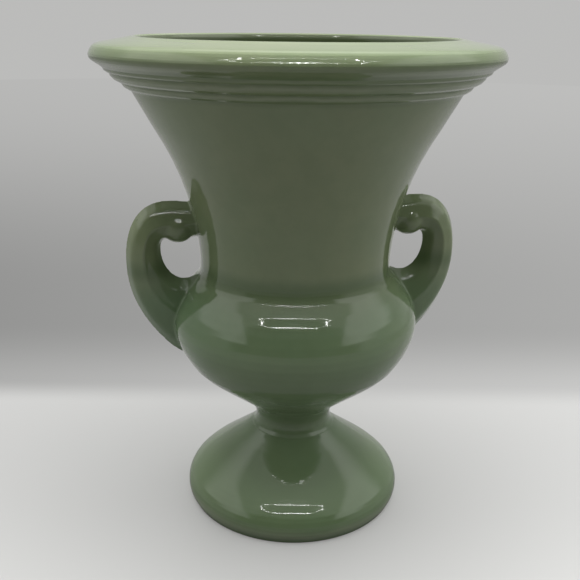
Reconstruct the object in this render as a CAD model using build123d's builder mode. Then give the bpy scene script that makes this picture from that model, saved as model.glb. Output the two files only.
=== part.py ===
from build123d import *
import os

# Two-handled ceramic urn vase: pedestal foot, stem, bowl, flared neck and scroll handles.
# Millimetres, +Z up. The origin is the centre of the ring that the foot stands on.
# The handles lie in the XZ plane. The thin nodes are the slip that joins the clay pieces.

# Heights of the thrown pieces
foot_height = 39.8
stem_height = 12.6
bowl_height = 76.6
neck_height = 109.8

# Outside radii of the turned forms
foot_radius = 57.6
stem_radius = 19.9
stem_base_radius = 22.0
stem_top_radius = 23.0
bowl_radius = 62.9
bowl_top_radius = 48.4
neck_base_radius = 47.6
neck_top_radius = 78.6
rim_radius = 96.0
mouth_radius = 75.9

# Clay thickness
wall = 5.4
bowl_floor = 9.6
foot_crown = 8.2
bearing_width = 5.0
foot_edge = 2.0

# Rim: the lip, and the turned work below it
lip_height = 9.8
crest_round = 1.1
crest_drop = 0.37
cove_height = 3.3
cove_depth = 0.6
bead_height = 1.7
bead_bulge = 0.4
upper_ring_height = 4.4
lower_ring_height = 3.6
ring_bulge = 0.7

# Joints between the thrown pieces
slip = 0.4
spigot_height = 6.0
spigot_wall = 2.7
tenon_radius = 9.5
tenon_height = 4.6

# Handles, and the slip that squeezes out round their ends
handle_reach = 83.9
handle_rise = 32.4
handle_drop = 52.7
handle_width = 18.0
handle_tail_width = 13.0
handle_round = 4.5
slip_margin = 1.4
slip_bead = 1.3
slip_corner = 6.0

os.makedirs("parts", exist_ok=True)

# Levels, from the ground up
stem_base = foot_height + slip
stem_top = stem_base + stem_height
bowl_base = stem_top + slip
bowl_top = bowl_base + bowl_height
neck_base = bowl_top + slip
vase_top = neck_base + neck_height
lip_base = vase_top - lip_height
cove_base = lip_base - cove_height
bead_base = cove_base - bead_height
upper_ring_base = bead_base - upper_ring_height
lower_ring_base = upper_ring_base - lower_ring_height

# Levels inside the joints and hollows
lower_socket = foot_height - tenon_height
lower_tenon = stem_base - tenon_height
upper_tenon = stem_top + tenon_height
upper_socket = bowl_base + tenon_height
cavity_base = bowl_base + bowl_floor
spigot_top = bowl_top + spigot_height
rebate_top = neck_base + spigot_height
handle_base = neck_base - handle_drop

# Heights that outlines span
hollow_height = foot_height - foot_crown
cavity_height = bowl_top - cavity_base
flare_height = lower_ring_base - neck_base
handle_height = handle_drop + handle_rise

# Radii that follow from the ones above
bore_radius = neck_base_radius - wall
spigot_radius = bore_radius + spigot_wall
rebate_radius = spigot_radius + slip
cavity_radius = bowl_radius - wall
bearing_radius = foot_radius - foot_edge
hollow_radius = bearing_radius - bearing_width
socket_radius = tenon_radius + slip
rim_step = rim_radius - neck_top_radius

# Directions of an outline where two pieces meet
inward = (-1, 1)
outward = (1, 1)
upright = (0, 1)
downright = (0, -1)

# Outlines: how far across from one radius to the next, and how far up the height
foot_side_shares = [(0.011, 0.05), (0, 0.126), (0.014, 0.201), (0.042, 0.276), (0.118, 0.377),
                    (0.264, 0.503), (0.441, 0.628), (0.638, 0.754), (0.809, 0.854), (0.933, 0.942)]
foot_hollow_shares = [(0, 0), (-0.004, 0.158), (0.04, 0.348), (0.142, 0.538), (0.289, 0.715),
                      (0.476, 0.861), (0.723, 0.968), (1, 1)]
throat_share = 0.42
bowl_lower_shares = [(0.130, 0.063), (0.291, 0.128), (0.481, 0.206), (0.692, 0.298),
                     (0.850, 0.402), (0.947, 0.507), (0.992, 0.585)]
bowl_upper_shares = [(0, 0.631), (0.041, 0.683), (0.152, 0.735), (0.324, 0.787), (0.531, 0.839),
                     (0.731, 0.892), (0.876, 0.937), (0.966, 0.976), (1, 1)]
cavity_lower_shares = [(0, 0), (0.209, 0.0075), (0.383, 0.033), (0.574, 0.101), (0.730, 0.197),
                       (0.852, 0.307), (0.943, 0.427), (0.993, 0.537)]
cavity_upper_shares = [(0, 0.585), (0.052, 0.645), (0.19, 0.712), (0.386, 0.779),
                       (0.608, 0.846), (0.804, 0.906), (0.948, 0.958), (1, 1)]
flare_shares = [(0.013, 0.069), (0.0435, 0.161), (0.084, 0.252), (0.142, 0.344), (0.213, 0.436),
                (0.300, 0.528), (0.406, 0.619), (0.539, 0.711), (0.687, 0.803), (0.832, 0.894), (1, 1)]
lip_nose_shares = [(1, 0.32), (0.920, 0.60), (0.724, 0.735)]

# Turned rings: how far each starts across the step from the neck's top to the rim
upper_ring_share = 0.218
bead_share = 0.517
cove_share = 0.667
lip_base_share = 0.920

# Handle in side view: how far across from the neck's foot to the reach, and how far up the
# handle. Both lines start and end inside the vessel, whose outside trims them.
handle_outer_shares = [(-0.264, 1), (0.066, 1), (0.279, 0.999), (0.466, 0.993), (0.617, 0.974),
                       (0.751, 0.935), (0.861, 0.873), (0.941, 0.792), (0.987, 0.71), (1, 0.634),
                       (0.981, 0.547), (0.925, 0.448), (0.828, 0.349), (0.689, 0.244), (0.536, 0.157),
                       (0.378, 0.083), (0.19, 0.024), (-0.044, -0.012), (-0.264, -0.029)]
handle_inner_shares = [(-0.264, 0.637), (-0.031, 0.588), (0.093, 0.552), (0.22, 0.532), (0.341, 0.546),
                       (0.454, 0.592), (0.526, 0.658), (0.554, 0.723), (0.545, 0.784), (0.49, 0.811),
                       (0.413, 0.799), (0.328, 0.788), (0.237, 0.797), (0.154, 0.818), (0.066, 0.825),
                       (-0.044, 0.823), (-0.264, 0.823)]
# Handle from the front: how far its half width tapers, and how far up the handle
handle_side_shares = [(0, 1.1), (0.12, 0.55), (1, -0.1)]
# Slip round the handle's ends: where each patch starts and ends up the handle
scroll_slip_shares = (0.825, 1)
root_slip_shares = (0.03, 0.57)


def outline(shares, first_radius, last_radius, base, height, shift=0):
    """Points of an outline, between two radii and up a height."""
    width = last_radius - first_radius
    return [(first_radius + across * width + shift, base + up * height) for across, up in shares]


def vessel(grow):
    """Solid inside the outside of the bowl and neck, grown outwards by a thickness."""
    low = outline(bowl_lower_shares, stem_top_radius, bowl_radius, bowl_base, bowl_height, grow)
    high = outline(bowl_upper_shares, bowl_radius, bowl_top_radius, bowl_base, bowl_height, grow)
    flank = outline(flare_shares, neck_base_radius, neck_top_radius, neck_base, flare_height, grow)
    with BuildPart() as body:
        with BuildSketch(Plane.XZ):
            with BuildLine():
                Line((0, bowl_base), (stem_top_radius + grow, bowl_base))
                Spline((stem_top_radius + grow, bowl_base), *low, *high, tangents=[outward, upright])
                Line((bowl_top_radius + grow, bowl_top), (neck_base_radius + grow, neck_base))
                Spline((neck_base_radius + grow, neck_base), *flank)
                Line((neck_top_radius + grow, lower_ring_base), (0, lower_ring_base))
                Line((0, lower_ring_base), (0, bowl_base))
            make_face()
        revolve(axis=Axis.Z)
    return body.part


def draw_strap(grow):
    """Draws the handle's outline from the front, grown outwards by a margin."""
    flank = outline(handle_side_shares, handle_width / 2, handle_tail_width / 2, handle_base, handle_height, grow)
    Spline(*flank, tangents=[downright, downright])
    Line(flank[-1], (0, flank[-1][1]))
    Line((0, flank[0][1]), flank[0])
    mirror(about=Plane.YZ)


# Foot: a domed shell on a dry bearing ring, with a socket for the stem's lower tenon
with BuildPart() as foot:
    with BuildSketch(Plane.XZ):
        with BuildLine():
            side = outline(foot_side_shares, foot_radius, stem_base_radius, 0, foot_height)
            hollow = outline(foot_hollow_shares, hollow_radius, 0, 0, hollow_height)
            Spline((bearing_radius, 0), *side, (stem_base_radius, foot_height), tangents=[outward, inward])
            Polyline((stem_base_radius, foot_height), (socket_radius, foot_height), (socket_radius, lower_socket),
                     (0, lower_socket), (0, hollow_height))
            Spline(*reversed(hollow))
            Line((hollow_radius, 0), (bearing_radius, 0))
        make_face()
    revolve(axis=Axis.Z)
foot.part.label = "foot"
export_step(foot.part, "parts/foot.step")

# Stem: a waisted spool with a round tenon at each end
with BuildPart() as stem:
    with BuildSketch(Plane.XZ):
        with BuildLine():
            throat = (stem_radius, stem_base + throat_share * stem_height)
            Spline((stem_base_radius, stem_base), throat, (stem_top_radius, stem_top), tangents=[inward, outward])
            Polyline((stem_top_radius, stem_top), (tenon_radius, stem_top), (tenon_radius, upper_tenon),
                     (0, upper_tenon), (0, lower_tenon), (tenon_radius, lower_tenon),
                     (tenon_radius, stem_base), (stem_base_radius, stem_base))
        make_face()
    revolve(axis=Axis.Z)
stem.part.label = "stem"
export_step(stem.part, "parts/stem.step")

# Bowl: the belly of the vase, with a socket below and a spigot round its mouth
with BuildPart() as bowl:
    with BuildSketch(Plane.XZ):
        with BuildLine():
            belly = outline(bowl_lower_shares, stem_top_radius, bowl_radius, bowl_base, bowl_height)
            belly += outline(bowl_upper_shares, bowl_radius, bowl_top_radius, bowl_base, bowl_height)
            cavity = outline(cavity_lower_shares, 0, cavity_radius, cavity_base, cavity_height)
            cavity += outline(cavity_upper_shares, cavity_radius, bore_radius, cavity_base, cavity_height)
            Spline((stem_top_radius, bowl_base), *belly, tangents=[outward, upright])
            Polyline((bowl_top_radius, bowl_top), (spigot_radius, bowl_top), (spigot_radius, spigot_top),
                     (bore_radius, spigot_top), (bore_radius, bowl_top))
            Spline(*reversed(cavity))
            Polyline((0, cavity_base), (0, upper_socket), (socket_radius, upper_socket),
                     (socket_radius, bowl_base), (stem_top_radius, bowl_base))
        make_face()
    revolve(axis=Axis.Z)
bowl.part.label = "bowl"
export_step(bowl.part, "parts/bowl.step")

# Neck: the tall flare with two turned rings, a bead and a cove below the rolled lip
with BuildPart() as neck:
    with BuildSketch(Plane.XZ):
        with BuildLine():
            flare = outline(flare_shares, neck_base_radius, neck_top_radius, neck_base, flare_height)
            bore = outline(flare_shares, neck_base_radius, neck_top_radius, neck_base, flare_height, -wall)
            nose = outline(lip_nose_shares, neck_top_radius, rim_radius, lip_base, lip_height)
            upper_ring_start = (neck_top_radius + upper_ring_share * rim_step, upper_ring_base)
            bead_start = (neck_top_radius + bead_share * rim_step, bead_base)
            cove_start = (neck_top_radius + cove_share * rim_step, cove_base)
            lip_start = (neck_top_radius + lip_base_share * rim_step, lip_base)
            crest_start = (mouth_radius + crest_round, vase_top - crest_drop)
            crest_end = (mouth_radius - crest_round, vase_top - crest_drop)
            Spline((neck_base_radius, neck_base), *flare)
            SagittaArc((neck_top_radius, lower_ring_base), upper_ring_start, ring_bulge)
            SagittaArc(upper_ring_start, bead_start, ring_bulge)
            SagittaArc(bead_start, cove_start, bead_bulge)
            SagittaArc(cove_start, lip_start, -cove_depth)
            Spline(lip_start, *nose, crest_start)
            ThreePointArc(crest_start, (mouth_radius, vase_top), crest_end)
            Spline(crest_end, *reversed(bore[1:]), (bore_radius, rebate_top))
            Polyline((bore_radius, rebate_top), (rebate_radius, rebate_top), (rebate_radius, neck_base),
                     (neck_base_radius, neck_base))
        make_face()
    revolve(axis=Axis.Z)
neck.part.label = "neck"
export_step(neck.part, "parts/neck.step")

# Slip seam of the foot: a thin cup round and under the stem's lower tenon
with BuildPart() as foot_slip_seam:
    with BuildSketch(Plane.XZ):
        with BuildLine():
            Polyline((0, lower_socket), (socket_radius, lower_socket), (socket_radius, foot_height),
                     (stem_base_radius, foot_height), (stem_base_radius, stem_base), (tenon_radius, stem_base),
                     (tenon_radius, lower_tenon), (0, lower_tenon), close=True)
        make_face()
    revolve(axis=Axis.Z)
foot_slip_seam.part.label = "foot_slip_seam"
export_step(foot_slip_seam.part, "parts/foot_slip_seam.step")

# Slip seam of the stem: a thin cap round and over its upper tenon
with BuildPart() as stem_slip_seam:
    with BuildSketch(Plane.XZ):
        with BuildLine():
            Polyline((0, upper_socket), (socket_radius, upper_socket), (socket_radius, bowl_base),
                     (stem_top_radius, bowl_base), (stem_top_radius, stem_top), (tenon_radius, stem_top),
                     (tenon_radius, upper_tenon), (0, upper_tenon), close=True)
        make_face()
    revolve(axis=Axis.Z)
stem_slip_seam.part.label = "stem_slip_seam"
export_step(stem_slip_seam.part, "parts/stem_slip_seam.step")

# Slip seam of the neck: a thin collar over the bowl's rim and spigot
with BuildPart() as neck_slip_seam:
    with BuildSketch(Plane.XZ):
        with BuildLine():
            Polyline((bowl_top_radius, bowl_top), (neck_base_radius, neck_base), (rebate_radius, neck_base),
                     (rebate_radius, rebate_top), (bore_radius, rebate_top), (bore_radius, spigot_top),
                     (spigot_radius, spigot_top), (spigot_radius, bowl_top), close=True)
        make_face()
    revolve(axis=Axis.Z)
neck_slip_seam.part.label = "neck_slip_seam"
export_step(neck_slip_seam.part, "parts/neck_slip_seam.step")

# Handle: a broad strap with rounded edges, from the scroll on the neck to the tail on the bowl
with BuildPart() as handle_right:
    with BuildSketch(Plane.XZ):
        with BuildLine():
            outer = outline(handle_outer_shares, neck_base_radius, handle_reach, handle_base, handle_height)
            inner = outline(handle_inner_shares, neck_base_radius, handle_reach, handle_base, handle_height)
            Spline(*outer)
            Line(outer[-1], inner[0])
            Spline(*inner)
            Line(inner[-1], outer[0])
        make_face()
    extrude(amount=handle_width, both=True)
    with BuildSketch(Plane.YZ):
        with BuildLine():
            draw_strap(0)
        make_face()
    extrude(amount=2 * handle_reach, mode=Mode.INTERSECT)
    sides = handle_right.faces().sort_by(Axis.Y)
    rims = (sides[0].edges() + sides[-1].edges()).filter_by(lambda edge: edge.center().X > bore_radius)
    fillet(rims, radius=handle_round)
    add(vessel(slip), mode=Mode.SUBTRACT)
handle_right.part.label = "handle_right"
export_step(handle_right.part, "parts/handle_right.step")

with BuildPart() as handle_left:
    mirror(handle_right.part, about=Plane.YZ)
handle_left.part.label = "handle_left"
export_step(handle_left.part, "parts/handle_left.step")

vessel_outside = vessel(0)
bead_outside = vessel(slip_bead)


def slip_patch(shares):
    """Slip between a handle's end and the vessel, with the bead that squeezes out round it."""
    low = handle_base + shares[0] * handle_height - slip_margin
    high = handle_base + shares[1] * handle_height + slip_margin
    with BuildPart() as patch:
        with BuildSketch(Plane.YZ):
            with BuildLine():
                draw_strap(slip_margin)
            make_face()
            with Locations((0, (low + high) / 2)):
                RectangleRounded(handle_width + 2 * slip_margin, high - low, slip_corner, mode=Mode.INTERSECT)
        extrude(amount=handle_reach)
        add(bead_outside, mode=Mode.INTERSECT)
        add(vessel_outside, mode=Mode.SUBTRACT)
        add(handle_right.part, mode=Mode.SUBTRACT)
    return patch.part


# Slip patches: one at each scroll and one at each tail, the left pair mirrored from the right
for name, shares in (("scroll_slip", scroll_slip_shares), ("root_slip", root_slip_shares)):
    right_patch = slip_patch(shares)
    left_patch = mirror(right_patch, about=Plane.YZ)
    for patch, side_name in ((right_patch, "right"), (left_patch, "left")):
        patch.label = name + "_" + side_name
        export_step(patch, "parts/" + patch.label + ".step")
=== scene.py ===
from math import atan2, cos, hypot, pi, radians

import bpy
from mathutils import Matrix, Vector


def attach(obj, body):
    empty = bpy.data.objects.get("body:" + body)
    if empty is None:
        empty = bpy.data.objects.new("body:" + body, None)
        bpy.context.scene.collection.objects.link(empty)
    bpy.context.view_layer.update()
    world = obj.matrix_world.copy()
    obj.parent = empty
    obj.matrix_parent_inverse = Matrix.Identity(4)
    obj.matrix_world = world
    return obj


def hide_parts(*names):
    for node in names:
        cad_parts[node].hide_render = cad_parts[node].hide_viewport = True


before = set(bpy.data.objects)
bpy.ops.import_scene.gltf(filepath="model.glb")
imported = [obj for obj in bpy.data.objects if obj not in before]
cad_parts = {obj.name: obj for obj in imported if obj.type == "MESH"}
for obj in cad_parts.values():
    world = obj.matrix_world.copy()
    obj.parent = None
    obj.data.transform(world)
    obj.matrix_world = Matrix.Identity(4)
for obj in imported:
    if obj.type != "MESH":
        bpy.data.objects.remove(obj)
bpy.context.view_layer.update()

# Two-handled urn vase in sage-green gloss glaze. Metres, +Z up, handles along X.
mm = 0.001

# Clay: every ring of a turned piece has this many sides before it is smoothed this often
ring_sides = 64
smoothing = 2
slip_smoothing = 1
# Smoothing draws a ring in by this share, so each ring starts that much wider
ring_gain = 3 / (2 + cos(2 * pi / ring_sides))
# Points nearer than this are one point, and edges flatter than this angle are shaded smooth
weld_distance = 0.02 * mm
soft_angle = radians(35)

# Outlines of the turned pieces in millimetres, (radius, height). Each stretch is smooth, and
# the piece has a sharp corner where two stretches meet. An outline that stays open at the axis
# ends 1 mm from it, and is closed there.
neck_outside = [
    (48.15, 130.2), (48.1, 131.6), (48.1, 133.4), (48.2, 135.6), (48.4, 138.6), (48.95, 144),
    (50.2, 152), (51.95, 160), (54.2, 168), (56.95, 176), (60.3, 184), (64.3, 192), (68.9, 200),
    (73.3, 208), (76.3, 213.4), (77.9, 216.4), (78.6, 217.3)]
rings = [
    (78.6, 217.3), (79.8, 217.4), (81.2, 218.3), (82.1, 219.6), (82.5, 220.7), (83.7, 220.7),
    (85.5, 221.7), (86.9, 223.2), (87.6, 225.0), (88.6, 225.0), (89.6, 225.7), (90.2, 226.9)]
lip_and_inside = [
    (90.2, 226.9), (90.9, 227.4), (92.0, 228.2), (93.6, 229.2), (95.0, 230.2), (95.75, 231.2),
    (95.95, 232.2), (95.75, 233.1), (95.35, 234.0), (94.8, 235.0), (94.1, 235.95), (93.0, 236.7),
    (91.2, 237.25), (88.6, 237.75), (84, 238.55), (80.4, 239.15), (78.2, 239.65), (76.8, 239.98),
    (75.7, 239.95), (74.95, 239.3), (74.5, 238), (74.1, 234), (73.7, 226), (73.0, 217.2),
    (68.0, 208), (63.5, 200), (58.9, 192), (54.9, 184), (51.5, 176), (48.8, 168), (46.6, 160),
    (44.8, 152), (43.5, 144), (42.7, 139), (42.2, 136.2)]
neck_rebate = [(42.2, 136.2), (45.3, 136.2), (45.3, 130.2), (48.15, 130.2)]
bowl_outside = [
    (23.0, 53.2), (23.9, 54.1), (25.4, 55.5), (28.2, 58), (31.2, 60.4), (34.6, 63), (38.4, 66),
    (42.4, 69.1), (46.8, 72.6), (51.0, 76.2), (54.4, 79.8), (57.1, 84), (59.4, 88.2), (61.2, 92.6),
    (62.4, 96.6), (62.9, 101), (62.6, 104.4), (61.6, 108), (59.7, 112), (57.2, 116), (54.5, 119.6),
    (51.9, 122.4), (49.9, 124.5), (48.95, 126.2), (48.4, 128.0), (48.15, 129.8)]
bowl_spigot = [(48.15, 129.8), (44.9, 129.8), (44.9, 135.8), (42.2, 135.8), (42.2, 129.8)]
bowl_cavity = [
    (42.2, 129.8), (43, 127), (45.2, 123.5), (48.2, 119.5), (51.6, 115), (54.6, 110.5),
    (56.7, 106), (57.5, 102), (57.1, 98.6), (54.2, 91.4), (49, 83.4), (42, 76), (33, 69.6),
    (22, 65), (12, 63.3), (1, 62.8)]
bowl_socket = [(1, 57.8), (9.9, 57.8), (9.9, 53.2), (23.0, 53.2)]
stem_foot_end = [(1, 35.6), (9.5, 35.6), (9.5, 40.2), (21.9, 40.2)]
stem_outside = [
    (21.9, 40.2), (20.8, 41.6), (20.1, 43.4), (19.9, 45.4), (20.1, 47.4), (20.6, 49.3),
    (21.5, 51.2), (22.7, 52.8)]
stem_bowl_end = [(22.7, 52.8), (9.5, 52.8), (9.5, 57.4), (1, 57.4)]
foot_hollow = [
    (1, 31.6), (7, 31.3), (14, 30.5), (20.5, 29.2), (26.5, 27.2), (36, 22.6), (43.4, 17),
    (48.4, 11), (50.4, 5.6), (50.8, 2.4), (51.0, 0.45)]
bearing_ring = [(51.0, 0.45), (51.4, 0.1), (52.2, 0), (54.4, 0), (55.3, 0.1), (55.7, 0.45)]
foot_outside = [
    (55.7, 0.45), (56.2, 1.5), (57.1, 3.4), (57.5, 5.4), (57.45, 7.6), (57.0, 9.6), (56.1, 11.6),
    (54.8, 13.6), (52.8, 15.7), (50.3, 18.0), (47.2, 20.5), (43.5, 23.25), (39.65, 26.1),
    (35.9, 28.9), (32.3, 31.6), (29.25, 33.9), (26.4, 36.2), (23.9, 38.3), (22.05, 39.8)]
foot_socket = [(22.05, 39.8), (9.9, 39.8), (9.9, 35.2), (1, 35.2)]
# Slip in the joints, flush with the pieces beside it
neck_seam = [
    (48.15, 129.8), (48.15, 130.2), (45.3, 130.2), (45.3, 136.2), (42.2, 136.2), (42.2, 135.8),
    (44.9, 135.8), (44.9, 129.8), (48.15, 129.8)]
stem_seam = [
    (1, 57.4), (9.5, 57.4), (9.5, 52.8), (22.7, 52.8), (23.0, 53.2), (9.9, 53.2), (9.9, 57.8),
    (1, 57.8)]
foot_seam = [
    (1, 35.2), (9.9, 35.2), (9.9, 39.8), (22.05, 39.8), (21.9, 40.2), (9.5, 40.2), (9.5, 35.6),
    (1, 35.6)]

# The right handle, in millimetres in the plane of the handles: at each station the place of
# the inner side and of the outer side, (radius, height), and half the breadth
handle_stations = [
    ((47.0, 127.6), (50.0, 80.0), 6.8),
    ((51.0, 126.2), (60.2, 84.0), 7.4),
    ((55.4, 124.2), (67.1, 90.8), 7.9),
    ((59.9, 125.1), (73.3, 98.2), 8.4),
    ((63.4, 128.0), (79.2, 107.8), 8.9),
    ((66.2, 132.4), (83.6, 119.0), 9.3),
    ((67.4, 137.8), (85.2, 131.0), 9.4),
    ((67.4, 141.8), (84.7, 142.0), 9.4),
    ((66.4, 144.4), (82.4, 151.2), 9.2),
    ((64.6, 145.2), (78.0, 158.8), 8.9),
    ((62.0, 143.8), (71.7, 163.2), 8.7),
    ((59.3, 143.0), (64.9, 164.4), 8.6),
    ((56.3, 143.6), (59.0, 164.2), 8.6),
    ((53.0, 145.2), (53.6, 163.4), 8.6),
    ((46.0, 145.4), (46.0, 162.8), 8.6),
]
# How much of the strap's half width its outer and inner corners are rounded by
outer_rounding = 0.7
inner_rounding = 0.38
strap_smoothing = 2
# The curl: the strap's end rolled under itself, (radius, depth, height) and its half sizes
curl_place = (58.8, 0, 151.4)
curl_size = (8.6, 9.4, 8.4)
curl_sides, curl_rings = 32, 16
# The patch of vessel that is worked together with the handle: how far below the vessel's skin
# it lies, where it starts from the axis, how far it goes to each side, and its heights
patch_depth = 0.12
patch_start = 36
patch_side = 22
patch_low, patch_high = 66, 178
# How finely the joined clay is worked, how hard and how often, and how deep in the wall it ends
clay_grain = 0.5
clay_pressure = 0.5
clay_strokes = 22
core_depth = 2.6


def deselect():
    bpy.ops.object.select_all(action="DESELECT")


def only(piece):
    """Selects one piece and makes it the active one."""
    deselect()
    piece.select_set(True)
    bpy.context.view_layer.objects.active = piece


def enter_edit():
    bpy.ops.object.mode_set(mode="EDIT")


def leave_edit():
    bpy.ops.object.mode_set(mode="OBJECT")


def edit_all_of(piece):
    """Enters edit mode with the whole of one piece selected."""
    only(piece)
    enter_edit()
    bpy.ops.mesh.select_all(action="SELECT")


def apply_place():
    """Puts the selected piece's place, turn and size into its mesh."""
    bpy.ops.object.transform_apply(location=True, rotation=True, scale=True)


def apply_modifiers(piece):
    only(piece)
    for modifier in list(piece.modifiers):
        bpy.ops.object.modifier_apply(modifier=modifier.name)


def smooth_skin(piece, levels):
    subdivide = piece.modifiers.new("smooth", "SUBSURF")
    subdivide.levels = subdivide.render_levels = levels
    apply_modifiers(piece)


def pairs(places):
    """Straight runs from each place to the next, so that every corner is sharp."""
    return [list(run) for run in zip(places, places[1:])]


def close_and_face_out():
    """Closes the open ends of the mesh in edit mode and turns its faces outwards."""
    bpy.ops.mesh.select_all(action="SELECT")
    bpy.ops.mesh.remove_doubles(threshold=weld_distance)
    bpy.ops.mesh.select_all(action="DESELECT")
    bpy.ops.mesh.select_mode(type="EDGE")
    bpy.ops.mesh.select_non_manifold()
    bpy.ops.mesh.fill_holes(sides=0)
    bpy.ops.mesh.select_all(action="SELECT")
    bpy.ops.mesh.normals_make_consistent(inside=False)
    bpy.ops.mesh.select_mode(type="VERT")


def turn(name, stretches, levels=smoothing):
    """Throws a piece: a ring is pulled along its outline and creased at each corner."""
    radius, height = stretches[0][0]
    deselect()
    bpy.ops.mesh.primitive_circle_add(vertices=ring_sides, radius=radius * ring_gain * mm,
                                      location=(0, 0, height * mm))
    piece = bpy.context.object
    piece.name = name
    apply_place()
    enter_edit()
    bpy.ops.mesh.select_all(action="SELECT")
    bpy.ops.transform.edge_crease(value=1)
    for stretch in stretches:
        for next_radius, next_height in stretch[1:]:
            rise = (next_height - height) * mm
            bpy.ops.mesh.extrude_edges_move(TRANSFORM_OT_translate={"value": (0, 0, rise)})
            factor = next_radius / radius
            bpy.ops.transform.resize(value=(factor, factor, 1), center_override=(0, 0, 0))
            radius, height = next_radius, next_height
        bpy.ops.transform.edge_crease(value=1)
    close_and_face_out()
    leave_edit()
    smooth_skin(piece, levels)
    bpy.ops.object.shade_smooth_by_angle(angle=soft_angle)
    return piece


def vessel_core(name, depth):
    """The bowl and neck as one solid body, its side a depth nearer to the axis than theirs."""
    side = [(radius - depth, height) for radius, height in bowl_outside + neck_outside]
    bottom, top = side[0], side[-1]
    return turn(name, [[(1, bottom[1]), bottom], side, [top, (1, top[1])]], 1)


def strap_end():
    """The strap's first ring, 2 mm square: corners rounded, and a point halfway on each side."""
    deselect()
    bpy.ops.mesh.primitive_plane_add(size=2 * mm, location=(0, 0, 0))
    strap = bpy.context.object
    mesh = strap.data
    for vertex in mesh.vertices:
        vertex.select = vertex.co.x > 0
    enter_edit()
    bpy.ops.mesh.select_mode(type="VERT")
    bpy.ops.mesh.bevel(affect="VERTICES", offset=outer_rounding * mm, segments=1)
    leave_edit()
    for vertex in mesh.vertices:
        vertex.select = vertex.co.x < 0
    enter_edit()
    bpy.ops.mesh.bevel(affect="VERTICES", offset=inner_rounding * mm, segments=1)
    bpy.ops.mesh.select_all(action="SELECT")
    bpy.ops.mesh.delete(type="ONLY_FACE")
    leave_edit()
    for edge in mesh.edges:
        start, end = (mesh.vertices[number].co for number in edge.vertices)
        edge.select = start.x == end.x or start.y == end.y
    enter_edit()
    bpy.ops.mesh.select_mode(type="EDGE")
    bpy.ops.mesh.subdivide(number_cuts=1)
    bpy.ops.mesh.select_mode(type="VERT")
    bpy.ops.mesh.select_all(action="SELECT")
    return strap


def pull_strap():
    """The handle's strap: a ring drawn from its tail on the bowl up and over to the neck."""
    strap = strap_end()
    strap.name = "handle_right_pulled"
    centre, lean, reach, breadth = Vector((0, 0, 0)), 0, 1, 1
    for number, (inner, outer, half_breadth) in enumerate(handle_stations):
        if number:
            bpy.ops.mesh.extrude_edges_move(TRANSFORM_OT_translate={"value": (0, 0, 0)})
        bpy.ops.transform.rotate(value=-lean, orient_axis="Y", center_override=centre)
        across, up = outer[0] - inner[0], outer[1] - inner[1]
        half_reach = hypot(across, up) / 2
        growth = (half_reach / reach, half_breadth / breadth, 1)
        bpy.ops.transform.resize(value=growth, center_override=centre)
        place = Vector(((inner[0] + outer[0]) / 2, 0, (inner[1] + outer[1]) / 2)) * mm
        bpy.ops.transform.translate(value=place - centre)
        centre, lean, reach, breadth = place, atan2(up, across), half_reach, half_breadth
        bpy.ops.transform.rotate(value=lean, orient_axis="Y", center_override=centre)
    close_and_face_out()
    leave_edit()
    smooth_skin(strap, strap_smoothing)
    return strap


def roll_curl():
    """The rolled end of the strap, a lump of clay of its own until it is worked in."""
    deselect()
    bpy.ops.mesh.primitive_uv_sphere_add(segments=curl_sides, ring_count=curl_rings, radius=mm,
                                         location=Vector(curl_place) * mm)
    curl = bpy.context.object
    curl.name = "curl"
    curl.scale = curl_size
    apply_place()
    return curl


def keep_side(piece, place, direction):
    """Cuts a piece by a plane and keeps the side against the direction, closed."""
    edit_all_of(piece)
    bpy.ops.mesh.bisect(plane_co=Vector(place) * mm, plane_no=direction, use_fill=True,
                        clear_outer=True)
    leave_edit()


def vessel_patch():
    """The part of the vessel round the right handle's two contacts."""
    patch = vessel_core("patch", patch_depth)
    keep_side(patch, (patch_start, 0, 0), (-1, 0, 0))
    keep_side(patch, (0, patch_side, 0), (0, 1, 0))
    keep_side(patch, (0, -patch_side, 0), (0, -1, 0))
    keep_side(patch, (0, 0, patch_low), (0, 0, -1))
    keep_side(patch, (0, 0, patch_high), (0, 0, 1))
    return patch


def make_right_handle():
    """Joins strap, curl and vessel, works the clay smooth and cuts it off inside the wall."""
    handle = pull_strap()
    curl = roll_curl()
    patch = vessel_patch()
    only(handle)
    curl.select_set(True)
    patch.select_set(True)
    bpy.ops.object.join()
    remesh = handle.modifiers.new("one clay", "REMESH")
    remesh.mode = "VOXEL"
    remesh.voxel_size = clay_grain * mm
    rub = handle.modifiers.new("worked over", "SMOOTH")
    rub.factor = clay_pressure
    rub.iterations = clay_strokes
    apply_modifiers(handle)
    core = vessel_core("core", core_depth)
    cut = handle.modifiers.new("cut inside the wall", "BOOLEAN")
    cut.operation = "DIFFERENCE"
    cut.object = core
    cut.solver = "EXACT"
    apply_modifiers(handle)
    bpy.data.objects.remove(core)
    only(handle)
    bpy.ops.object.shade_smooth()
    return handle


def make_left_handle(right):
    """A copy of the right handle, mirrored across the vase."""
    only(right)
    bpy.ops.object.duplicate()
    left = bpy.context.object
    left.name = "handle_left_pulled"
    edit_all_of(left)
    bpy.ops.transform.resize(value=(-1, 1, 1), center_override=(0, 0, 0))
    bpy.ops.mesh.normals_make_consistent(inside=False)
    leave_edit()
    return left


def stand_for(piece, slot_name, *nodes):
    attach(piece, "root")
    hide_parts(*nodes)


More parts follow.
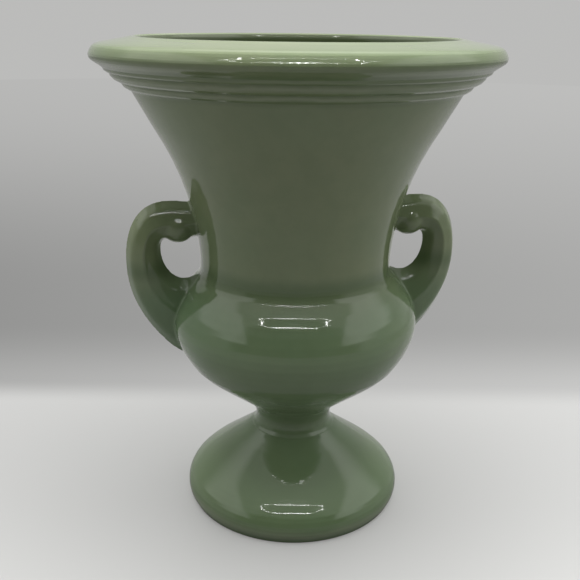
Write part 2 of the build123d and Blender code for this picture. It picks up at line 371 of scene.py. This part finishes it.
neck = turn("neck_thrown", [neck_outside, rings, lip_and_inside, *pairs(neck_rebate)])
bowl = turn("bowl_thrown", [*pairs(bowl_socket), bowl_outside, *pairs(bowl_spigot), bowl_cavity])
stem = turn("stem_thrown", [*pairs(stem_foot_end), stem_outside, *pairs(stem_bowl_end)])
foot = turn("foot_thrown", [foot_hollow, bearing_ring, foot_outside, *pairs(foot_socket)])
neck_slip = turn("neck_joint_slip", pairs(neck_seam), slip_smoothing)
stem_slip = turn("stem_joint_slip", pairs(stem_seam), slip_smoothing)
foot_slip = turn("foot_joint_slip", pairs(foot_seam), slip_smoothing)
handle_right = make_right_handle()
handle_left = make_left_handle(handle_right)
stand_for(neck, "sage_glaze", "neck")
stand_for(bowl, "sage_glaze", "bowl")
stand_for(stem, "sage_glaze", "stem")
stand_for(foot, "sage_glaze", "foot")
stand_for(handle_right, "sage_glaze", "handle_right", "scroll_slip_right", "root_slip_right")
stand_for(handle_left, "sage_glaze", "handle_left", "scroll_slip_left", "root_slip_left")
stand_for(neck_slip, "glazed_slip", "neck_slip_seam")
stand_for(stem_slip, "glazed_slip", "stem_slip_seam")
stand_for(foot_slip, "glazed_slip", "foot_slip_seam")

# Glaze colours, as light on a plain white light gives them: where it is even, thick, thin, cool,
# with painted shade in the thick hollows, over the foot, on the cool lower glaze and inside the
# neck. Then the specks of burst bubbles, and the clay of the dry bearing ring.
sage = (0.212, 0.252, 0.138)
# Pooled glaze, also the colour of painted shade in the hollows and over the foot
sage_pooled_and_shade = (0.115, 0.165, 0.080)
sage_thin = (0.33, 0.36, 0.26)
# Cooler glaze of the bowl and all below it, darker partly as painted shade
sage_mint_and_shade = (0.155, 0.232, 0.124)
# Painted shade inside the neck
sage_inside_shade = (0.062, 0.084, 0.038)
speck_colour = (0.03, 0.035, 0.02)
bare_clay = (0.52, 0.45, 0.36)

# Soft bands where the glaze runs thick, darker partly as painted shade in these hollows, (middle
# height, reach, share): the crease over the bowl, the grooves below the lip from the lowest up,
# and the waist of the stem under the bowl
thick_and_shade_bands = [
    (0.1305, 0.0075, 0.85), (0.2172, 0.0025, 0.35), (0.2208, 0.0013, 0.4), (0.2250, 0.0013, 0.4),
    (0.2275, 0.0018, 0.5), (0.0455, 0.010, 0.25)]
# Where it runs thin: the crests of the two rings and the foot's edge, and the lip's top, which
# is given by its two heights and its share
thin_bands = [(0.2192, 0.0012, 0.3), (0.2232, 0.0014, 0.3), (0.005, 0.004, 0.35)]
lip_thins = (0.2362, 0.2388)
lip_thin_share = 0.28
# The bands wander up and down over this height in all
band_wander = 3 * mm
# Patterns in the glaze: waves to the metre, detail and roughness. The drift and the clouds go
# from 0 to 1 between two of their values.
wander_noise = (60.0, 2.0, 0.5)
drift_noise = (14.0, 3.0, 0.55)
cloud_noise = (95.0, 4.0, 0.6)
wave_noise = (26.0, 1.0, 0.5)
peel_noise = (420.0, 1.0, 0.5)
drift_span = (0.35, 0.65)
cloud_span = (0.3, 0.7)
# The middle of the neck's wall is at height x growth + start from the axis, up to a limit. The
# painted shade inside begins within this distance of it, ends at the lip's top and deepens towards
# the mouth.
wall_growth, wall_start, wall_limit = 0.548, -0.0432, 0.0758
wall_edge = (-0.0004, 0.0005)
inside_ends = (0.2399, 0.2390)
inside_deepens = (0.186, 0.228)
# From a height to a height, and from a share to a share: the bowl's cooler glaze, darker partly as
# painted shade, and the painted shade over the foot under the bowl. The dry ring under the foot is
# between its two heights.
bowl_cools_and_shades = (0.136, 0.112, 0.0, 0.75)
foot_painted_shade = (0.042, 0.026, 0.0, 0.65)
ring_dries = (0.0006, 0.0003)
drift_share = 0.3
cloud_share = 0.16
speck_share = 0.8
# Pinholes: cells to the metre, the chance of one in a cell, and its size as a part of a cell
pinhole_spacing = 90.0
pinhole_chance = (0.93, 0.96)
pinhole_least, pinhole_spread = 0.02, 0.035
# Roughness of the gloss, what its clouds add and what dry clay adds; heights of the ripple
gloss_rough, cloud_rough, dry_rough = 0.045, 0.03, 0.7
wave_height, peel_height, pinhole_depth = 0.10, 0.0015, -0.12
glaze_ior = 1.5
ripple_strength = 0.35
ripple_distance = 1 * mm


def feed(tree, made, sockets):
    """Gives a node's inputs values or links: s0, s1 and so on by number, the others by name."""
    for name, value in sockets.items():
        by_number = name[1:].isdigit()
        socket = made.inputs[int(name[1:]) if by_number else name.replace("_", " ")]
        if isinstance(value, bpy.types.NodeSocket):
            tree.links.new(value, socket)
        else:
            socket.default_value = value


def node(tree, kind, **sockets):
    made = tree.nodes.new(kind)
    feed(tree, made, sockets)
    return made


def use(tree, made_group, **sockets):
    """Places a node group."""
    made = tree.nodes.new("ShaderNodeGroup")
    made.node_tree = made_group
    feed(tree, made, sockets)
    return made


def calc(tree, operation, first, second=0.0, third=0.0, clamp=False):
    made = node(tree, "ShaderNodeMath", s0=first, s1=second, s2=third)
    made.operation = operation
    made.use_clamp = clamp
    return made.outputs[0]


def ramp(tree, value, low, high, low_out=0.0, high_out=1.0):
    """A smooth step of a value from low to high."""
    made = node(tree, "ShaderNodeMapRange", Value=value, From_Min=low, From_Max=high,
                To_Min=low_out, To_Max=high_out)
    made.interpolation_type = "SMOOTHSTEP"
    return made.outputs[0]


def choose(tree, share, first, second):
    """The first number where the share is 0, the second where it is 1."""
    return node(tree, "ShaderNodeMix", s0=share, s2=first, s3=second).outputs[0]


def blend(tree, share, first, second):
    """The first colour where the share is 0, the second where it is 1."""
    made = tree.nodes.new("ShaderNodeMix")
    made.data_type = "RGBA"
    feed(tree, made, {"s0": share, "s6": first, "s7": second})
    return made.outputs[2]


def vector_calc(tree, operation, first, second=(0, 0, 0)):
    made = node(tree, "ShaderNodeVectorMath", s0=first, s1=second)
    made.operation = operation
    return made


def noise(tree, place, scale, detail, roughness):
    made = node(tree, "ShaderNodeTexNoise", Vector=place, Scale=scale, Detail=detail,
                Roughness=roughness)
    return made.outputs[0]


def group(name, inputs, outputs):
    """A new shader node group with a place, other named inputs and named outputs."""
    tree = bpy.data.node_groups.new(name, "ShaderNodeTree")
    tree.interface.new_socket("Place", in_out="INPUT", socket_type="NodeSocketVector")
    for title, value in inputs.items():
        socket = tree.interface.new_socket(title, in_out="INPUT", socket_type="NodeSocketFloat")
        socket.default_value = value
    for title in outputs:
        tree.interface.new_socket(title, in_out="OUTPUT", socket_type="NodeSocketFloat")
    return tree, tree.nodes.new("NodeGroupInput"), tree.nodes.new("NodeGroupOutput")


def banded(tree, height, bands, strongest=0.0):
    """The strongest of some soft bands, each 1 x its share at its middle and 0 past its reach."""
    for middle, reach, share in bands:
        away = calc(tree, "ABSOLUTE", calc(tree, "SUBTRACT", height, middle))
        band = calc(tree, "MULTIPLY", ramp(tree, away, reach, 0.0), share)
        strongest = calc(tree, "MAXIMUM", strongest, band)
    return strongest


def pooling_and_shade_group():
    """Where the glaze runs thick or thin, with painted shade in the thick hollows, and the painted
    shade inside the neck.
    """
    tree, start, end = group("glaze pooling", {}, ["Thick", "Thin", "Inside"])
    place = start.outputs["Place"]
    true_height = node(tree, "ShaderNodeSeparateXYZ", s0=place).outputs["Z"]
    wander = calc(tree, "MULTIPLY_ADD", noise(tree, place, *wander_noise), band_wander,
                  -band_wander / 2)
    height = calc(tree, "ADD", true_height, wander)
    flat = vector_calc(tree, "MULTIPLY", place, (1, 1, 0)).outputs[0]
    radius = vector_calc(tree, "LENGTH", flat).outputs["Value"]
    mid_wall = calc(tree, "MULTIPLY_ADD", true_height, wall_growth, wall_start)
    depth = calc(tree, "SUBTRACT", calc(tree, "MINIMUM", mid_wall, wall_limit), radius)
    # The painted shade inside the neck, deeper towards the mouth
    inside = calc(tree, "MULTIPLY", ramp(tree, depth, *wall_edge),
                  ramp(tree, true_height, *inside_ends))
    inside = calc(tree, "MULTIPLY", inside, ramp(tree, height, *inside_deepens))
    lip_thin = calc(tree, "MULTIPLY", ramp(tree, true_height, *lip_thins), lip_thin_share)
    tree.links.new(banded(tree, height, thick_and_shade_bands), end.inputs["Thick"])
    tree.links.new(banded(tree, height, thin_bands, lip_thin), end.inputs["Thin"])
    tree.links.new(inside, end.inputs["Inside"])
    return tree


def drift_group():
    """Slow drifts of tone through the glaze, from warm to mint, and smaller clouds in it."""
    tree, start, end = group("glaze drift", {}, ["Drift", "Cloud"])
    slow = noise(tree, start.outputs["Place"], *drift_noise)
    cloud = noise(tree, start.outputs["Place"], *cloud_noise)
    tree.links.new(ramp(tree, slow, *drift_span), end.inputs["Drift"])
    tree.links.new(ramp(tree, cloud, *cloud_span), end.inputs["Cloud"])
    return tree


def pinhole_group():
    """Pinholes where a bubble burst in the glaze: a few specks, strongest at their middles."""
    tree, start, end = group("glaze pinholes", {"Spacing": pinhole_spacing}, ["Speck"])
    cells = node(tree, "ShaderNodeTexVoronoi", Vector=start.outputs["Place"],
                 Scale=start.outputs["Spacing"])
    chance = node(tree, "ShaderNodeSeparateColor", s0=cells.outputs["Color"])
    some = ramp(tree, chance.outputs[0], *pinhole_chance)
    size = calc(tree, "MULTIPLY_ADD", chance.outputs[1], pinhole_spread, pinhole_least)
    off_middle = calc(tree, "DIVIDE", cells.outputs["Distance"], size)
    speck = calc(tree, "SUBTRACT", 1.0, off_middle, clamp=True)
    tree.links.new(calc(tree, "MULTIPLY", speck, some), end.inputs["Speck"])
    return tree


def ripple_group():
    """The glaze's own surface: long slow waves, a fine orange peel and sunk pinholes."""
    tree, start, end = group("glaze ripple", {"Speck": 0.0}, ["Height"])
    wave = noise(tree, start.outputs["Place"], *wave_noise)
    peel = noise(tree, start.outputs["Place"], *peel_noise)
    height = calc(tree, "MULTIPLY", wave, wave_height)
    height = calc(tree, "MULTIPLY_ADD", peel, peel_height, height)
    height = calc(tree, "MULTIPLY_ADD", start.outputs["Speck"], pinhole_depth, height)
    tree.links.new(height, end.inputs["Height"])
    return tree


def glaze_material(name, groups):
    """Glossy glaze over pale clay, dry under the foot."""
    material = bpy.data.materials.new(name)
    material.use_nodes = True
    tree = material.node_tree
    shader = tree.nodes["Principled BSDF"]
    place = tree.nodes.new("ShaderNodeTexCoord").outputs["Object"]
    pooling_and_shade = use(tree, groups["pooling_and_shade"], Place=place)
    drift = use(tree, groups["drift"], Place=place)
    speck = use(tree, groups["pinholes"], Place=place).outputs["Speck"]
    ripple = use(tree, groups["ripple"], Place=place, Speck=speck)
    height = node(tree, "ShaderNodeSeparateXYZ", s0=place).outputs["Z"]
    drifted = calc(tree, "MULTIPLY", drift.outputs["Drift"], drift_share)
    cool_and_shade = calc(tree, "ADD", ramp(tree, height, *bowl_cools_and_shades), drifted, clamp=True)
    dry = ramp(tree, height, *ring_dries)
    coats = [
        # cooler glaze below the shoulder, darker partly as painted shade
        (cool_and_shade, sage_mint_and_shade),
        (calc(tree, "MULTIPLY", drift.outputs["Cloud"], cloud_share), sage_pooled_and_shade),
        # painted shade over the foot, which the bowl shades from above
        (ramp(tree, height, *foot_painted_shade), sage_pooled_and_shade),
        # glaze pooled thick in the hollows, partly painted shade there
        (pooling_and_shade.outputs["Thick"], sage_pooled_and_shade),
        # painted shade inside the neck
        (pooling_and_shade.outputs["Inside"], sage_inside_shade),
        (pooling_and_shade.outputs["Thin"], sage_thin),
        (calc(tree, "MULTIPLY", speck, speck_share), speck_colour),
        (dry, bare_clay),
    ]
    colour = (*sage, 1)
    for share, coat in coats:
        colour = blend(tree, share, colour, (*coat, 1))
    tree.links.new(colour, shader.inputs["Base Color"])
    rough = calc(tree, "MULTIPLY_ADD", drift.outputs["Cloud"], cloud_rough, gloss_rough)
    rough = calc(tree, "MULTIPLY_ADD", dry, dry_rough, rough)
    tree.links.new(rough, shader.inputs["Roughness"])
    shader.inputs["IOR"].default_value = glaze_ior
    bump = node(tree, "ShaderNodeBump", Strength=ripple_strength, Distance=ripple_distance,
                Height=ripple.outputs["Height"])
    tree.links.new(bump.outputs[0], shader.inputs["Normal"])
    return material


def dress(piece, material):
    piece.data.materials.clear()
    piece.data.materials.append(material)


effects = {"pooling_and_shade": pooling_and_shade_group(), "drift": drift_group(), "pinholes": pinhole_group(),
           "ripple": ripple_group()}
glaze = glaze_material("sage glaze", effects)
slip_glaze = glaze_material("glazed slip", effects)
for piece in (neck, bowl, stem, foot, handle_left, handle_right):
    dress(piece, glaze)
for piece in (neck_slip, stem_slip, foot_slip):
    dress(piece, slip_glaze)

# Camera, from the photograph's angle; its place is in millimetres before its turn round the
# vase. Lights and surroundings share that turn.
camera_turn = radians(10.3)
camera_pitch = radians(19.3)
camera_roll = 0.0115
camera_place = (-2.4, -384.0, 249.3)
camera_lens = 48.67
camera_sensor = 36
turned = Matrix.Rotation(-camera_turn, 3, "Z")
to_the_right, away = turned.col[0], turned.col[1]
camera_data = bpy.data.cameras.new("camera")
camera_data.sensor_width = camera_sensor
camera_data.lens = camera_lens
camera = bpy.data.objects.new("camera", camera_data)
bpy.context.scene.collection.objects.link(camera)
camera.location = turned @ (Vector(camera_place) * mm)
camera.rotation_mode = "QUATERNION"
camera.rotation_quaternion = (turned @ Matrix.Rotation(pi / 2 - camera_pitch, 3, "X")
                              @ Matrix.Rotation(camera_roll, 3, "Z")).to_quaternion()
bpy.context.scene.camera = camera
bpy.context.scene.view_settings.view_transform = "Standard"

# Soft studio light, in millimetres and watts: a narrow six-sided frame of strips, which shows
# only in the gloss, and a broad panel above, which doesn't show there
strip_height = 560
strip_corners = [(-222, -430), (222, -430), (302, -312), (172, -288), (-172, -288), (-302, -312)]
strip_widths = [10, 5, 5, 8, 5, 5]
strip_power = [0.58, 0.07, 0.06, 0.22, 0.06, 0.07]
strip_share = 0.93
bead_spacing = 34
bead_edge = (0.32, 0.12)
bead_levels = (0.3, 2.4)
panel_place = (0, 60, 900)
panel_size = (700, 700)
panel_power = 8.6


def area_light(name, place, size, power, rotation):
    """Adds a lamp that the camera doesn't see."""
    data = bpy.data.lights.new(name, "AREA")
    data.shape = "RECTANGLE"
    data.size, data.size_y = (side * mm for side in size)
    data.energy = power
    lamp = bpy.data.objects.new(name, data)
    bpy.context.scene.collection.objects.link(lamp)
    lamp.location = turned @ (Vector(place) * mm)
    lamp.rotation_mode = "QUATERNION"
    lamp.rotation_quaternion = rotation
    lamp.visible_camera = False
    return lamp


def bead(data, count):
    """A row of bright beads along a strip, on a dimmer line."""
    data.use_nodes = True
    tree = data.node_tree
    place = tree.nodes.new("ShaderNodeNewGeometry").outputs["Parametric"]
    travelled = node(tree, "ShaderNodeSeparateXYZ", s0=place).outputs["X"]
    share = calc(tree, "FRACT", calc(tree, "MULTIPLY", travelled, count))
    off_middle = calc(tree, "ABSOLUTE", calc(tree, "SUBTRACT", share, 0.5))
    strength = ramp(tree, off_middle, *bead_edge, *bead_levels)
    tree.links.new(strength, tree.nodes["Emission"].inputs["Strength"])


far_corners = strip_corners[1:] + strip_corners[:1]
for corner, far_corner, width, power in zip(strip_corners, far_corners, strip_widths, strip_power):
    run = Vector(far_corner) - Vector(corner)
    middle = ((corner[0] + far_corner[0]) / 2, (corner[1] + far_corner[1]) / 2, strip_height)
    facing = (turned @ Matrix.Rotation(atan2(run.y, run.x), 3, "Z")).to_quaternion()
    strip = area_light("strip", middle, (run.length * strip_share, width), power, facing)
    strip.visible_diffuse = False
    bead(strip.data, round(run.length / bead_spacing))
facing = (turned @ -Vector(panel_place)).to_track_quat("-Z", "Y")
panel = area_light("panel", panel_place, panel_size, panel_power, facing)
panel.visible_glossy = False

# Surroundings: levels of white by direction, away from the camera, to its side and upwards. A
# span is from, to, level at from and level at to. Gloss mirrors its own, with more light from
# above behind the vase and from high at each side.
white = (1.0, 1.0, 0.985, 1)
light_span = (-0.95, 0.0, 0.14, 0.95)
mirror_span = (-0.62, -0.42, 0.04, 0.48)
behind_from, behind_up, behind_level = (0.2, 0.6), (0.4, 0.6), 0.6
side_from, side_up, side_before, side_level = (0.62, 0.70), (0.22, 0.36), (0.5, 0.2), 0.95
right_gain = 0.12
up_span = (0.45, 0.95, 0.0, 0.30)
seen_level = 0.50


def along(tree, split, axis):
    """How far a direction or a place goes along a level axis."""
    share = calc(tree, "MULTIPLY", split.outputs["X"], axis.x)
    return calc(tree, "MULTIPLY_ADD", split.outputs["Y"], axis.y, share)


def product(tree, first, *others):
    for other in others:
        first = calc(tree, "MULTIPLY", first, other)
    return first


world = bpy.data.worlds.new("studio")
bpy.context.scene.world = world
world.use_nodes = True
sky = world.node_tree
background = sky.nodes["Background"]
sky_place = sky.nodes.new("ShaderNodeTexCoord").outputs["Generated"]
direction = node(sky, "ShaderNodeSeparateXYZ", s0=sky_place)
upward = direction.outputs["Z"]
forward = along(sky, direction, away)
sideways = along(sky, direction, to_the_right)
behind_above = product(sky, ramp(sky, forward, *behind_from), ramp(sky, upward, *behind_up))
high_side = product(sky, ramp(sky, calc(sky, "ABSOLUTE", sideways), *side_from),
                    ramp(sky, upward, *side_up), ramp(sky, forward, *side_before))
mirrored = ramp(sky, forward, *mirror_span)
mirrored = calc(sky, "MULTIPLY_ADD", behind_above, behind_level, mirrored)
mirrored = calc(sky, "MULTIPLY_ADD", high_side, side_level, mirrored)
path = sky.nodes.new("ShaderNodeLightPath")
level = choose(sky, path.outputs["Is Glossy Ray"], ramp(sky, forward, *light_span), mirrored)
level = product(sky, level, calc(sky, "MULTIPLY_ADD", sideways, right_gain, 1.0))
level = calc(sky, "ADD", level, ramp(sky, upward, *up_span))
seen = choose(sky, path.outputs["Is Camera Ray"], level, seen_level)
sky.links.new(seen, background.inputs["Strength"])
background.inputs["Color"].default_value = white

# Floor: pale, with its own colours for the light it throws back, for gloss and for the camera.
# Nearness is 1 a quarter of a metre from the spot below the camera, and smaller further back.
# Far behind the vase, where it is small, the floor shows as a plain grey wall instead: a glow,
# painted light, palest at its top and its foot and a little paler to the right.
floor_radius = 3
floor_sides = 128
floor_rough = 0.6
camera_reach = 0.384
least_reach = 0.2
near_distance = 0.25
floor_lit = (0.20, 0.20, 0.196, 1)
floor_mirrored = (0.30, 0.30, 0.295, 1)
floor_far = (0.485, 0.485, 0.48, 1)
floor_near = (0.66, 0.66, 0.65, 1)
floor_pales = (0.56, 0.95)
wall_span = (0.05, 0.36, 0.50, 0.352)
wall_foot_span = (0.40, 0.51, 0.0, 0.16)
wall_side_limit = 0.5
wall_side_span = (0.12, 0.36, 0.1, 0.36)
glow_share_span = (0.525, 0.49, 0.4, 1.0)

deselect()
bpy.ops.mesh.primitive_circle_add(vertices=floor_sides, radius=floor_radius, fill_type="NGON",
                                  location=(0, 0, 0))
floor = bpy.context.object
floor.name = "floor"
floor_material = bpy.data.materials.new("pale floor")
floor_material.use_nodes = True
ground = floor_material.node_tree
ground_shader = ground.nodes["Principled BSDF"]
ground_shader.inputs["Roughness"].default_value = floor_rough
ground_place = ground.nodes.new("ShaderNodeTexCoord").outputs["Object"]
ground_split = node(ground, "ShaderNodeSeparateXYZ", s0=ground_place)
ground_path = ground.nodes.new("ShaderNodeLightPath")
reach = calc(ground, "ADD", along(ground, ground_split, away), camera_reach)
reach = calc(ground, "MAXIMUM", reach, least_reach)
nearness = calc(ground, "DIVIDE", near_distance, reach)
lit = blend(ground, ground_path.outputs["Is Glossy Ray"], floor_lit, floor_mirrored)
shown = blend(ground, ramp(ground, nearness, *floor_pales), floor_far, floor_near)
lit = blend(ground, ground_path.outputs["Is Camera Ray"], lit, shown)
ground.links.new(lit, ground_shader.inputs["Base Color"])
glow_level = calc(ground, "ADD", ramp(ground, nearness, *wall_span),
                 ramp(ground, nearness, *wall_foot_span))
sidelong = calc(ground, "DIVIDE", along(ground, ground_split, to_the_right), reach)
sidelong = calc(ground, "MAXIMUM", sidelong, -wall_side_limit)
sidelong = calc(ground, "MINIMUM", sidelong, wall_side_limit)
sidelong = product(ground, sidelong, ramp(ground, nearness, *wall_side_span))
glow_level = product(ground, glow_level, calc(ground, "ADD", 1.0, sidelong))
glow = node(ground, "ShaderNodeEmission", Color=white, Strength=glow_level)
# The share of glow: all of it on the wall, and four tenths near the vase, painted light that
# softens the vase's shadow on the floor
glow_share = product(ground, ramp(ground, nearness, *glow_share_span),
                  ground_path.outputs["Is Camera Ray"])
covered = node(ground, "ShaderNodeMixShader", Fac=glow_share, s1=ground_shader.outputs[0],
               s2=glow.outputs[0])
ground.links.new(covered.outputs[0], ground.nodes["Material Output"].inputs["Surface"])
floor.data.materials.append(floor_material)
